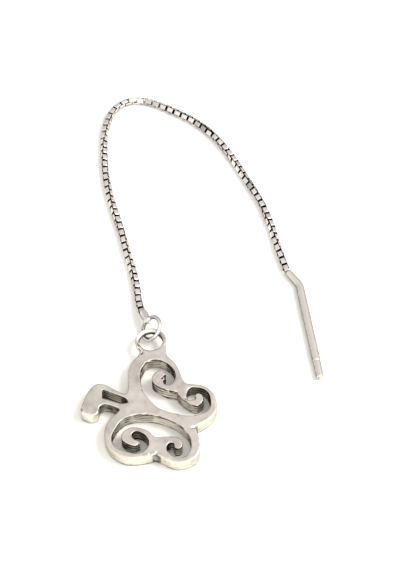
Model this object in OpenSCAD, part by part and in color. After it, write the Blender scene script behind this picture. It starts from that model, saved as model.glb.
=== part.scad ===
// Chain earring of the threader kind, laid out on a table: a bent wire post, a fine box chain,
// a soldered end ring and a pierced butterfly drop. Silver throughout.
// +Z is up, +X is to the right and +Y points away from the viewer.
// The origin is the middle of the footprint, on the table.

/* [Butterfly drop] */
// Thickness of the cast plate
plate_thickness = 1.5; // [1.2:0.1:1.6]
// Diameter of the hole in the eyelet
eyelet_hole_d = 2.4; // [2.2:0.1:2.6]
// Width of the eyelet's rim, seen from above
eyelet_rim = 0.4; // [0.35:0.05:0.5]
// Height of the eyelet's rim, which is filed thinner than the plate
eyelet_height = 0.7; // [0.6:0.05:0.7]
// Size of the drop against its plan
plan_scale = 1.015; // [1:0.005:1.03]
// Direction of the butterfly's body, from head to tail
drop_turn = -21; // [-25:1:-15]

/* [End ring] */
// Diameter of the ring along the middle of its wire
ring_d = 2.46; // [2.4:0.02:2.5]
// Thickness of the ring's wire
ring_wire = 0.4; // [0.3:0.05:0.4]
// Length of the soldered end piece beyond the wire
end_piece = 1.1; // [1:0.05:1.3]

/* [Chain] */
// Length of one link
link_length = 0.84; // [0.82:0.01:0.86]
// Largest distance from one link to the next
link_pitch = 0.497; // [0.485:0.001:0.5]
// Width across a link
link_width = 0.74; // [0.74:0.01:0.78]
// Thickness of the strip that a link is bent from
strip_thickness = 0.1; // [0.08:0.01:0.1]
// Width of the strip that a link is bent from
strip_width = 0.28; // [0.24:0.01:0.3]
// Rounding of a link's outer corners
link_corner = 0.14; // [0.12:0.01:0.18]

/* [Post] */
// Diameter of the post
post_d = 0.86; // [0.8:0.01:0.9]
// Length of the straight part, as far as the score mark
post_straight = 9.6; // [8:0.1:10]
// Length of the slimmer tip after the score mark
post_tip = 2.1; // [1.5:0.1:2.5]
// Diameter of the slimmer tip, next to the score mark
post_tip_d = 0.81; // [0.72:0.01:0.82]
// Diameter of the slimmer tip at its end
post_end_d = 0.78; // [0.68:0.01:0.8]
// Rounding of the edge at the tip's end
tip_round = 0.18; // [0.1:0.02:0.24]
// Depth of the score mark, which is cut as a V
score_depth = 0.05; // [0.03:0.01:0.08]
// Width of the score mark
score_width = 0.16; // [0.1:0.02:0.24]
// Radius of the bend along the middle of the wire
bend_radius = 1.8; // [1.5:0.1:2.5]
// Angle of the bend
bend_angle = 26; // [22:1:30]
// Length of the tapered start, from the chain to the bend
post_lead = 1.7; // [1.4:0.1:2]
// Diameter of the tapered start where the chain is soldered on
post_lead_d = 0.74; // [0.6:0.02:0.8]

/* [Hidden] */

SILVER = [0.84, 0.82, 0.79];
// Middle of the laid-out earring's footprint, which is moved to the origin
middle = [0.35, 2.17, 0];
// Kinds of point on an outline
SMOOTH = 0;
CORNER = 1;
// Pieces that each stretch of an outline, or of the chain's way, is divided into
STEPS = 4;
WAY_STEPS = 6;

// The outlines below are in the drop's own plan: x runs along the butterfly's body towards the
// tail, y towards the wing that carries the eyelet. Each row is [x, y, SMOOTH or CORNER].

// Outside edge, from the tail notch round the plain wing, the head and the eyelet wing
drop_edge = [
    [4.40, -1.00, CORNER], [5.10, -2.00, SMOOTH], [5.70, -3.20, SMOOTH], [5.65, -4.20, SMOOTH],
    [5.00, -5.05, SMOOTH], [4.00, -5.50, SMOOTH], [2.90, -5.45, SMOOTH], [1.90, -5.35, CORNER],
    [1.00, -6.00, SMOOTH], [0.00, -6.55, SMOOTH], [-1.00, -6.73, SMOOTH], [-2.00, -6.55, SMOOTH],
    [-3.00, -5.95, SMOOTH], [-3.70, -4.90, SMOOTH], [-3.90, -3.80, SMOOTH], [-3.65, -2.70, SMOOTH],
    [-3.35, -1.95, SMOOTH], [-3.50, -1.70, CORNER], [-4.90, -1.75, SMOOTH], [-5.30, -2.10, SMOOTH],
    [-5.30, -2.50, SMOOTH], [-5.20, -3.00, SMOOTH], [-5.55, -3.45, SMOOTH], [-6.30, -3.53, SMOOTH],
    [-6.90, -3.35, SMOOTH], [-7.08, -2.40, SMOOTH], [-7.10, -0.80, SMOOTH], [-6.75, 0.10, SMOOTH],
    [-5.90, 0.40, SMOOTH], [-4.90, 0.22, SMOOTH], [-3.90, 0.05, SMOOTH], [-3.50, 0.15, SMOOTH],
    [-3.45, 0.50, SMOOTH], [-3.85, 1.60, SMOOTH], [-4.35, 2.80, SMOOTH], [-4.40, 3.80, SMOOTH],
    [-4.15, 4.80, SMOOTH], [-4.00, 5.60, SMOOTH], [-3.00, 6.10, CORNER], [-1.90, 6.90, CORNER],
    [-1.68, 6.45, SMOOTH], [-1.35, 5.85, SMOOTH], [-0.50, 5.45, SMOOTH], [0.40, 4.70, SMOOTH],
    [1.00, 3.95, SMOOTH], [1.60, 3.48, SMOOTH], [2.30, 3.58, SMOOTH], [3.20, 3.78, SMOOTH],
    [4.20, 3.55, SMOOTH], [5.00, 2.90, SMOOTH], [5.50, 2.00, SMOOTH], [5.60, 1.10, SMOOTH],
    [5.20, 0.10, SMOOTH]];

// Opening of the wing with the eyelet, round its front scroll and its rear scroll
eyelet_wing_opening = [
    [-3.10, 3.10, SMOOTH], [-3.10, 4.10, SMOOTH], [-2.65, 4.75, SMOOTH], [-1.80, 5.08, SMOOTH],
    [-0.90, 4.95, SMOOTH], [-0.10, 4.50, SMOOTH], [0.33, 3.80, SMOOTH], [0.38, 3.00, SMOOTH],
    [-0.05, 2.55, SMOOTH], [-0.50, 2.65, CORNER], [-0.55, 3.15, SMOOTH], [-0.70, 3.75, SMOOTH],
    [-1.20, 4.05, SMOOTH], [-1.65, 3.60, SMOOTH], [-1.80, 2.95, SMOOTH], [-1.50, 2.38, SMOOTH],
    [-0.70, 2.08, SMOOTH], [0.30, 1.95, SMOOTH], [1.15, 2.10, SMOOTH], [1.38, 1.92, CORNER],
    [2.00, 1.55, SMOOTH], [3.00, 1.30, SMOOTH], [3.75, 1.32, CORNER], [3.98, 2.00, SMOOTH],
    [3.85, 2.50, SMOOTH], [3.40, 2.78, SMOOTH], [3.02, 2.50, SMOOTH], [3.12, 1.95, SMOOTH],
    [2.80, 1.68, SMOOTH], [2.45, 1.75, SMOOTH], [2.12, 2.35, SMOOTH], [2.20, 3.05, SMOOTH],
    [2.70, 3.35, SMOOTH], [3.50, 3.42, SMOOTH], [4.15, 3.12, SMOOTH], [4.65, 2.45, SMOOTH],
    [4.90, 1.60, SMOOTH], [4.60, 0.85, SMOOTH], [3.80, 0.15, SMOOTH], [2.70, -0.22, SMOOTH],
    [1.50, -0.35, SMOOTH], [0.20, -0.28, SMOOTH], [-1.00, 0.28, SMOOTH], [-2.10, 1.10, SMOOTH],
    [-2.80, 2.20, SMOOTH]];

// Opening of the plain wing, round its front scroll and its rear scroll
plain_wing_opening = [
    [-2.95, -4.20, SMOOTH], [-2.60, -2.80, SMOOTH], [-1.80, -2.00, SMOOTH], [-0.70, -1.45, SMOOTH],
    [0.60, -1.20, SMOOTH], [2.00, -1.22, SMOOTH], [3.20, -1.55, SMOOTH], [4.20, -2.20, SMOOTH],
    [4.75, -3.05, SMOOTH], [4.88, -3.90, SMOOTH], [4.60, -4.65, SMOOTH], [3.90, -4.93, SMOOTH],
    [3.10, -4.75, SMOOTH], [2.60, -4.30, SMOOTH], [2.60, -3.70, SMOOTH], [3.05, -3.48, SMOOTH],
    [3.32, -3.92, SMOOTH], [3.65, -4.00, SMOOTH], [3.97, -3.60, SMOOTH], [3.65, -2.95, SMOOTH],
    [2.90, -2.87, SMOOTH], [2.00, -3.15, SMOOTH], [1.10, -3.50, SMOOTH], [0.20, -3.12, SMOOTH],
    [-1.10, -3.18, SMOOTH], [-1.80, -3.65, SMOOTH], [-2.02, -4.40, SMOOTH], [-1.60, -5.08, SMOOTH],
    [-0.40, -5.20, SMOOTH], [-0.10, -4.90, CORNER], [-0.05, -4.62, SMOOTH], [-0.85, -4.45, SMOOTH],
    [-1.15, -4.05, SMOOTH], [-0.85, -3.62, SMOOTH], [-0.10, -3.60, SMOOTH], [0.60, -4.05, SMOOTH],
    [0.88, -4.75, SMOOTH], [0.60, -5.55, SMOOTH], [0.00, -5.95, SMOOTH], [-1.00, -6.08, SMOOTH],
    [-2.10, -5.95, SMOOTH], [-2.80, -5.30, SMOOTH]];

// Slit between the two antenna bars
antenna_slit = [
    [-5.85, -0.30, CORNER], [-3.40, -0.38, SMOOTH], [-2.80, -0.75, CORNER], [-3.50, -1.15, SMOOTH],
    [-5.50, -1.22, CORNER]];

// Casting pits in the top of the front scroll: [x, y, diameter]
scroll_pits = [[-0.66, 3.45, 0.24], [-0.80, 3.13, 0.18], [-0.45, 2.90, 0.30]];
pit_depth = 0.7;

eyelet_centre = [-3.6, 7.0];
// Where the drop's own origin lies on the table
drop_place = [-4.23, -16.33, 0];

// Middle of the end ring, and its axis: [direction on the table, rise above the table]
ring_place = [-5.1, -6.66, 1.28];
ring_axis = [-167, 46];

// Where the post's straight part starts, and its direction
bend_place = [10.72, -0.72, post_d / 2];
post_turn = -82;
lead_turn = post_turn + bend_angle;
// Where the post's tapered start meets the chain
post_start = [bend_place[0], bend_place[1]] + bend_radius * (right_of(post_turn) - right_of(lead_turn))
    - post_lead * [cos(lead_turn), sin(lead_turn)];
// Half section of the tip, from the score mark: [distance from the axis, distance along it]
tip_profile = [
    [0, 0], [post_d / 2, 0], [post_d / 2 - score_depth, score_width / 2], [post_tip_d / 2, score_width],
    [post_end_d / 2, post_tip - tip_round], [post_end_d / 2 - tip_round * 0.35, post_tip - tip_round * 0.3],
    [post_end_d / 2 - tip_round, post_tip], [0, post_tip]];

// Way of the chain over the table, from the wire of the end ring to the start of the post
chain_route = [
    [-5.55, -5.55], [-6.1, -4.2], [-6.4, -3.1], [-6.6, -2.0], [-6.8, -0.6], [-7.35, 2.0], [-7.95, 4.2],
    [-8.6, 6.9], [-9.5, 10.0], [-10.2, 12.7], [-10.7, 15.7], [-11.0, 18.8], [-11.0, 21.9],
    [-10.4, 24.7], [-9.2, 26.4], [-7.3, 27.0], [-5.5, 26.6], [-3.1, 25.3], [-0.7, 23.7], [1.4, 21.6],
    [3.4, 18.5], [5.1, 15.0], [6.7, 11.6], [7.8, 8.1], [8.5, 4.9], [9.1, 2.6], post_start];
// Lift of the chain off the table: [distance along the chain, lift]
chain_lift = [[0, 0.8], [1.5, 0.45], [2.6, 0.2], [3.8, 0.04], [5, 0]];

// Room between a soldered end and the loose link next to it
clear = 0.1;
// Room under a link, which slopes a little where the chain twists
slack = 0.015;
// How far the post's start reaches over the middle of its soldered link
solder_depth = 0.2;

// Twist of the chain: [distance along the chain, roll of its faces]
chain_twist = [
    [0, -16], [3, -8], [12.5, 79], [22, 174], [26.5, 224], [31.5, 285], [35, 307], [39, 321], [43, 318],
    [46.8, 293], [51.5, 243], [57.5, 194], [65.5, 101], [70, 101]];

// Direction from one point to another, as a unit vector
function toward(a, b) = (b - a) / norm(b - a);

// Unit vector that points to the right of someone who walks over the table in direction turn
function right_of(turn) = [sin(turn), -cos(turn)];

// Direction of the curve at row i, seen from the stretch that starts at row from
function edge_dir(rows, i, from) =
    let (n = len(rows), here = [rows[i][0], rows[i][1]],
         before = [rows[(i + n - 1) % n][0], rows[(i + n - 1) % n][1]],
         after = [rows[(i + 1) % n][0], rows[(i + 1) % n][1]])
    rows[i][2] == SMOOTH ? toward(before, after) : (i == from ? toward(here, after) : toward(before, here));

// Closed curve through the rows of an outline, with a break in direction at each CORNER row
function curve(rows, steps = STEPS) = [
    for (i = [0 : len(rows) - 1], k = [0 : steps - 1])
        let (j = (i + 1) % len(rows), a = [rows[i][0], rows[i][1]], b = [rows[j][0], rows[j][1]],
             reach = norm(b - a), t = k / steps)
        a * (2 * t * t * t - 3 * t * t + 1) + b * (3 * t * t - 2 * t * t * t)
        + edge_dir(rows, i, i) * reach * (t * t * t - 2 * t * t + t)
        + edge_dir(rows, j, i) * reach * (t * t * t - t * t)];

// The chain's way as a fine row of points, and as tables of each coordinate by distance
way = [
    for (i = [0 : len(chain_route) - 2], k = [0 : WAY_STEPS - 1])
        let (n = len(chain_route) - 1, a = chain_route[i], b = chain_route[i + 1], t = k / WAY_STEPS,
             leave = toward(chain_route[max(i - 1, 0)], b), reach = norm(b - a),
             arrive = toward(a, chain_route[min(i + 2, n)]))
        a * (2 * t * t * t - 3 * t * t + 1) + b * (3 * t * t - 2 * t * t * t)
        + leave * reach * (t * t * t - 2 * t * t + t) + arrive * reach * (t * t * t - t * t)];
way_length = [
    for (i = 0, s = 0; i < len(way); s = s + (i + 1 < len(way) ? norm(way[i + 1] - way[i]) : 0), i = i + 1) s];
way_x = [for (i = [0 : len(way) - 1]) [way_length[i], way[i][0]]];
way_y = [for (i = [0 : len(way) - 1]) [way_length[i], way[i][1]]];

way_end = way_length[len(way) - 1];

// The end piece holds link 0 and the post holds the last one: both are soldered, and those between
// them are loose. The pitch is eased a little so that a whole number of links fits.
block = ring_wire / 2 + end_piece;
start = block + clear + link_length / 2 - link_pitch;
last = ceil((way_end - solder_depth - start) / link_pitch);
pitch = (way_end - solder_depth - start) / last;

function roll_at(s) = lookup(s, chain_twist);

// Height of the chain's middle where it lies on the table on a corner or a face
function rest_height(roll) =
    let (c = abs(cos(roll)), s = abs(sin(roll)))
    max(c, s) * link_width / 2 + min(c, s) * strip_width / 2 + slack;

function on_way(s) = [lookup(s, way_x), lookup(s, way_y), rest_height(roll_at(s)) + lookup(s, chain_lift)];

// Outline of a box with rounded corners, long side along x
function rounded_box(length, height, r) = [
    for (corner = [[1, 1, 0], [-1, 1, 90], [-1, -1, 180], [1, -1, 270]], k = [0 : 2])
        let (turn = corner[2] + 45 * k)
        [corner[0] * (length / 2 - r) + r * cos(turn), corner[1] * (height / 2 - r) + r * sin(turn)]];

// One link of the chain, bent from flat strip, standing across the table
module link() {
    rotate([90, 0, 0])
        linear_extrude(strip_width, center = true)
            difference() {
                polygon(rounded_box(link_length, link_width, link_corner));
                square([link_length - 2 * strip_thickness, link_width - 2 * strip_thickness], center = true);
            }
}

// Puts what it is given at a distance along the chain, with its x axis along the chain
module on_chain(s, turn) {
    ahead = on_way(s + pitch / 2) - on_way(s - pitch / 2);
    translate(on_way(s))
        rotate([0, -atan2(ahead[2], norm([ahead[0], ahead[1]])), atan2(ahead[1], ahead[0])])
            rotate([turn, 0, 0])
                children();
}

module link_number(k) {
    on_chain(start + k * pitch, roll_at(start + k * pitch) + 90 * (k % 2)) link();
}

module plate() {
    linear_extrude(plate_thickness)
        difference() {
            polygon(curve(drop_edge));
            polygon(curve(eyelet_wing_opening));
            polygon(curve(plain_wing_opening));
            polygon(curve(antenna_slit, 2));
        }
}

module pendant() {
    color(SILVER)
        translate(drop_place - middle)
            rotate([0, 0, drop_turn])
                scale(plan_scale)
                    difference() {
                        union() {
                            plate();
                            translate([eyelet_centre[0], eyelet_centre[1], plate_thickness - eyelet_height])
                                cylinder(d = eyelet_hole_d + 2 * eyelet_rim, h = eyelet_height, $fn = 64);
                        }
                        translate([eyelet_centre[0], eyelet_centre[1], -1])
                            cylinder(d = eyelet_hole_d, h = plate_thickness + 2, $fn = 64);
                        for (pit = scroll_pits)
                            translate([pit[0], pit[1], plate_thickness - pit_depth])
                                cylinder(d = pit[2], h = pit_depth + 1, $fn = 16);
                    }
}

// The ring that links the eyelet, with the soldered end of the chain
module end_ring() {
    color(SILVER) translate(-middle) {
        translate(ring_place)
            rotate([0, 90 - ring_axis[1], ring_axis[0]])
                rotate_extrude($fn = 48) translate([ring_d / 2, 0]) circle(d = ring_wire, $fn = 24);
        link_number(0);
        on_chain(block / 2, roll_at(block / 2))
            rotate([0, 90, 0])
                linear_extrude(block, center = true)
                    polygon(rounded_box(link_width, link_width, link_corner));
    }
}

module chain() {
    color(SILVER) translate(-middle) for (k = [1 : last - 1]) link_number(k);
}

// Solid of a round bar along x
module bar(d1, d2, length) {
    rotate([0, 90, 0]) cylinder(d1 = d1, d2 = d2, h = length, $fn = 48);
}

module post() {
    color(SILVER) translate(-middle) {
        link_number(last);
        translate(bend_place)
            rotate([0, 0, post_turn]) {
                bar(post_d, post_d, post_straight);
                translate([post_straight, 0, 0]) rotate([0, 90, 0]) rotate_extrude($fn = 48) polygon(tip_profile);
                translate([0, -bend_radius, 0]) {
                    rotate([0, 0, 90])
                        rotate_extrude(angle = bend_angle, $fn = 96)
                            translate([bend_radius, 0]) circle(d = post_d, $fn = 32);
                    rotate([0, 0, bend_angle])
                        translate([-post_lead, bend_radius, 0])
                            bar(post_lead_d, post_d, post_lead);
                }
            }
    }
}

pendant();
end_ring();
chain();
post();
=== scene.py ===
"""Looks of a chain earring: a cast butterfly drop, its end ring, a fine box chain and a bent wire post.

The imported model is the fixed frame. Each of its four solids is replaced by a finer piece in the same place,
with its own silver finish. Sizes are in millimetres and turns in degrees, and a mesh is written to the scene
in metres.
"""

from __future__ import annotations

import itertools
import logging
import math
from dataclasses import dataclass, field
from enum import Enum

import bmesh
import bpy
import numpy as np
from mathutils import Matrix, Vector
from mathutils.kdtree import KDTree

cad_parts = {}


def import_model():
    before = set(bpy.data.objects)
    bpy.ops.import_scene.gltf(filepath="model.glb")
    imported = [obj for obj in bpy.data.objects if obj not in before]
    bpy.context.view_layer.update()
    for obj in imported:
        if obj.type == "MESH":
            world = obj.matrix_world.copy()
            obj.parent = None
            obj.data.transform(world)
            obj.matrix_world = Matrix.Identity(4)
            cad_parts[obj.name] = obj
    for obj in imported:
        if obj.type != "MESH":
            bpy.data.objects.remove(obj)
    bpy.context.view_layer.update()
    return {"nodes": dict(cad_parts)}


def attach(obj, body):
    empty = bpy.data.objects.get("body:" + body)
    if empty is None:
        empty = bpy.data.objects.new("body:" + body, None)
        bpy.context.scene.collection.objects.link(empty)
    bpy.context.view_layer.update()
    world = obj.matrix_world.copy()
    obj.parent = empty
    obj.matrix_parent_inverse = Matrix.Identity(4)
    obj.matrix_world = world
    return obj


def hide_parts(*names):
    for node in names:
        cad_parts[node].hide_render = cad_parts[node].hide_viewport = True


log = logging.getLogger("chain_earring")

Array = np.ndarray
Pair = tuple[float, float]
Triple = tuple[float, float, float]
# Rows of x, y and reach
Spots = tuple[Triple, ...]
# Rows of first link, the link after the last, and share
Stretches = tuple[tuple[int, int, float], ...]

BODY = "root"
MILLIMETRE = 0.001
TAU = 2 * math.pi
UP = np.array([0.0, 0.0, 1.0])
# Direction of the side that is spared the painted edge shade: surfaces that face away from it are painted
# darker, as dark outlines
UNSHADED_FROM = np.array([0.0, -0.61, 0.79])
# A solid's triangle is part of a wall if its direction rises by less
UPRIGHT = 0.5
# A solid's points are one if they are closer, in metres
SAME_PLACE = 1e-7
# Least length that is divided by
TINY = 1e-12


class Mask(Enum):
    """Values kept at the points of a mesh, which the finishes read."""

    RECESS = "recess"
    WEAR = "wear"
    # Real stains, and painted shade: dark outlines, contact shadows, and shade on walls, in holes and in gaps
    STAIN_AND_SHADE = "shade"


class Grain(Enum):
    """How the metal's surface was left."""

    CAST = "cast"
    DRAWN = "drawn"
    POLISHED = "polished"


# How fast the hairlines change along their run, compared with across it. Polished metal has none.
HAIRLINE_STRETCH = {Grain.CAST: 0.3, Grain.DRAWN: 0.05}


def unit(vector: Array) -> Array:
    """Vectors of length one, along the last axis."""
    return vector / np.maximum(np.linalg.norm(vector, axis=-1, keepdims=True), TINY)


def smoothstep(low: float, high: float, value: Array) -> Array:
    """Soft step from 0 at low to 1 at high."""
    t = np.clip((value - low) / (high - low), 0.0, 1.0)
    return t * t * (3 - 2 * t)


def fade(low: float, high: float, value: Array) -> Array:
    """Soft step from 1 at low to 0 at high."""
    return 1 - smoothstep(low, high, value)


def turned(degrees: float) -> Array:
    """Unit vector that lies on the table in that direction."""
    return np.array([math.cos(math.radians(degrees)), math.sin(math.radians(degrees)), 0.0])


def facing_away_shade(normals: Array, low: float, high: float) -> Array:
    """Painted shade for surfaces that face away: soft step from 1 to 0 as the cosine of the angle to the
    unshaded side goes from low to high.
    """
    return fade(low, high, normals @ UNSHADED_FROM)


@dataclass(frozen=True)
class Noise:
    """Smooth random field, always the same for one seed.

    cell is the size of its bumps in millimetres. rise says how fast it changes with height, compared with
    the other directions. Its values lie within swing of mean.
    """

    cell: float
    seed: int
    rise: float = 1.0
    mean: float = 0.0
    swing: float = 1.0
    lattice: int = 24

    def at(self, points: Array) -> Array:
        """Reads the field.

        Args:
            points: Places in millimetres, one row each.

        Returns:
            One value for each point.
        """
        size = self.lattice
        values = np.random.default_rng(self.seed).uniform(-1, 1, (size, size, size))
        scaled = points * [1, 1, self.rise] / self.cell
        low = np.floor(scaled).astype(int)
        part = scaled - low
        part = part * part * (3 - 2 * part)
        total = np.zeros(len(points))
        for corner in itertools.product((0, 1), repeat=3):
            share = np.prod(np.where(corner, part, 1 - part), axis=1)
            i, j, k = ((low + corner) % size).T
            total += share * values[i, j, k]
        return self.mean + self.swing * total


def add_object(name: str, data: bpy.types.ID) -> bpy.types.Object:
    """Puts a mesh, a light or a camera in the scene.

    Args:
        name: Name of the object.
        data: What it holds.

    Returns:
        The new object.
    """
    item = bpy.data.objects.new(name, data)
    bpy.context.scene.collection.objects.link(item)
    return item


@dataclass
class Shape:
    """A mesh in millimetres, with the values that its finish reads at each point."""

    points: Array
    faces: Array
    caps: list[list[int]] = field(default_factory=list)
    masks: dict[Mask, Array] = field(default_factory=dict)

    def mesh(self, name: str) -> bpy.types.Mesh:
        """Blender mesh in metres, with smooth faces and the masks as attributes.

        Args:
            name: Name of the new mesh.

        Returns:
            The mesh.
        """
        mesh = bpy.data.meshes.new(name)
        mesh.from_pydata((self.points * MILLIMETRE).tolist(), [], self.faces.tolist() + self.caps)
        mesh.shade_smooth()
        for mask, values in self.masks.items():
            layer = mesh.attributes.new(mask.value, "FLOAT", "POINT")
            layer.data.foreach_set("value", np.asarray(values, np.float32))
        return mesh

    def remeshed(self, voxel: float) -> Shape:
        """Even skin of small squares round the shape's closed solids, which fuses those that overlap.

        Args:
            voxel: Size of the squares in millimetres.

        Returns:
            The new skin.
        """
        mesh = self.mesh("remeshed")
        points = np.empty(len(mesh.vertices) * 3, np.float32)
        mesh.vertices.foreach_get("co", points)
        mesh.vertices.foreach_set("co", points / MILLIMETRE)
        holder = add_object("remeshed", mesh)
        modifier = holder.modifiers.new("skin", "REMESH")
        modifier.mode = "VOXEL"
        modifier.voxel_size = voxel
        bpy.context.view_layer.update()
        result = holder.evaluated_get(bpy.context.evaluated_depsgraph_get()).to_mesh()
        found = np.empty(len(result.vertices) * 3, np.float32)
        result.vertices.foreach_get("co", found)
        corners = np.empty(len(result.loops), np.int32)
        result.loops.foreach_get("vertex_index", corners)
        bpy.data.objects.remove(holder)
        bpy.data.meshes.remove(mesh)
        return Shape(found.reshape(-1, 3).astype(float), corners.reshape(-1, 4))

    def normals(self) -> Array:
        """Outward direction at each point of a shape of squares.

        Returns:
            One unit vector for each point.
        """
        corners = self.points[self.faces]
        flat = np.cross(corners[:, 2] - corners[:, 0], corners[:, 3] - corners[:, 1])
        total = np.zeros_like(self.points)
        for axis, corner in itertools.product(range(3), range(4)):
            total[:, axis] += np.bincount(self.faces[:, corner], flat[:, axis], len(self.points))
        return unit(total)

    def relaxed(self, values: Array, passes: int, weight: Array | float = 1.0) -> Array:
        """Values at the points after each was moved half of the way to the mean of its neighbours.

        Args:
            values: One row or number for each point.
            passes: How many times.
            weight: Share of the move, for all points or for each.

        Returns:
            The softened values.
        """
        count = len(self.points)
        pairs = np.concatenate([np.stack([side, ahead], 1) for side, ahead
                                in zip(self.faces.T, np.roll(self.faces, -1, 1).T)])
        one, other = np.unique(np.sort(pairs, axis=1), axis=0).T
        neighbours = np.maximum(np.bincount(one, minlength=count) + np.bincount(other, minlength=count), 1)
        values = np.array(values, float).reshape(count, -1)
        weight = np.broadcast_to(np.asarray(weight, float).reshape(-1, 1), (count, 1))
        for _ in range(passes):
            mean = np.stack([
                (np.bincount(one, column[other], count) + np.bincount(other, column[one], count)) / neighbours
                for column in values.T], axis=1)
            values = values + 0.5 * weight * (mean - values)
        return values

    def worn(self, height: float = 0.02, reach: int = 3, blur: int = 2) -> Array:
        """How much each point stands out as an edge, from 0 on a flat or a hollow to 1 on a sharp edge.

        Args:
            height: Height over the softened shape, in millimetres, that counts as a sharp edge.
            reach: Passes of the softening that the shape is compared with.
            blur: Passes that soften the result.

        Returns:
            One value for each point.
        """
        inward = self.relaxed(self.points, reach) - self.points
        proud = -(inward * self.normals()).sum(1)
        return smoothstep(0.0, height, self.relaxed(proud, blur)[:, 0])


def joined(shapes: list[Shape]) -> Shape:
    """One shape that holds several, side by side, without their masks.

    Args:
        shapes: The shapes.

    Returns:
        The shape of them all.
    """
    offsets = np.cumsum([0] + [len(shape.points) for shape in shapes[:-1]])
    return Shape(
        np.concatenate([shape.points for shape in shapes]),
        np.concatenate([shape.faces + offset for shape, offset in zip(shapes, offsets)]),
        [[index + int(offset) for index in cap]
         for shape, offset in zip(shapes, offsets) for cap in shape.caps])


def swept(rings: Array, closed: bool = False) -> Shape:
    """Skin through a row of rings that have the same number of points.

    Args:
        rings: Points as [ring, point, axis].
        closed: Whether the last ring joins the first. If not, the ends are capped.

    Returns:
        The skin.
    """
    count, around = rings.shape[:2]
    index = np.arange(count * around).reshape(count, around)
    ahead = np.roll(index, -1, axis=0) if closed else index[1:]
    here = index if closed else index[:-1]
    faces = np.stack([here, np.roll(here, -1, 1), np.roll(ahead, -1, 1), ahead], -1).reshape(-1, 4)
    caps = [] if closed else [index[0][::-1].tolist(), index[-1].tolist()]
    return Shape(rings.reshape(-1, 3), faces, caps)


def feed(tree: bpy.types.NodeTree, node: bpy.types.Node, values: dict[str | int, object]) -> None:
    """Links sockets to a node's inputs, or sets the inputs' own values.

    Args:
        tree: Tree that holds the node.
        node: The node.
        values: Sockets or values, by the name or number of the input.
    """
    for label, value in values.items():
        if isinstance(value, bpy.types.NodeSocket):
            tree.links.new(value, node.inputs[label])
        else:
            node.inputs[label].default_value = value


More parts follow.
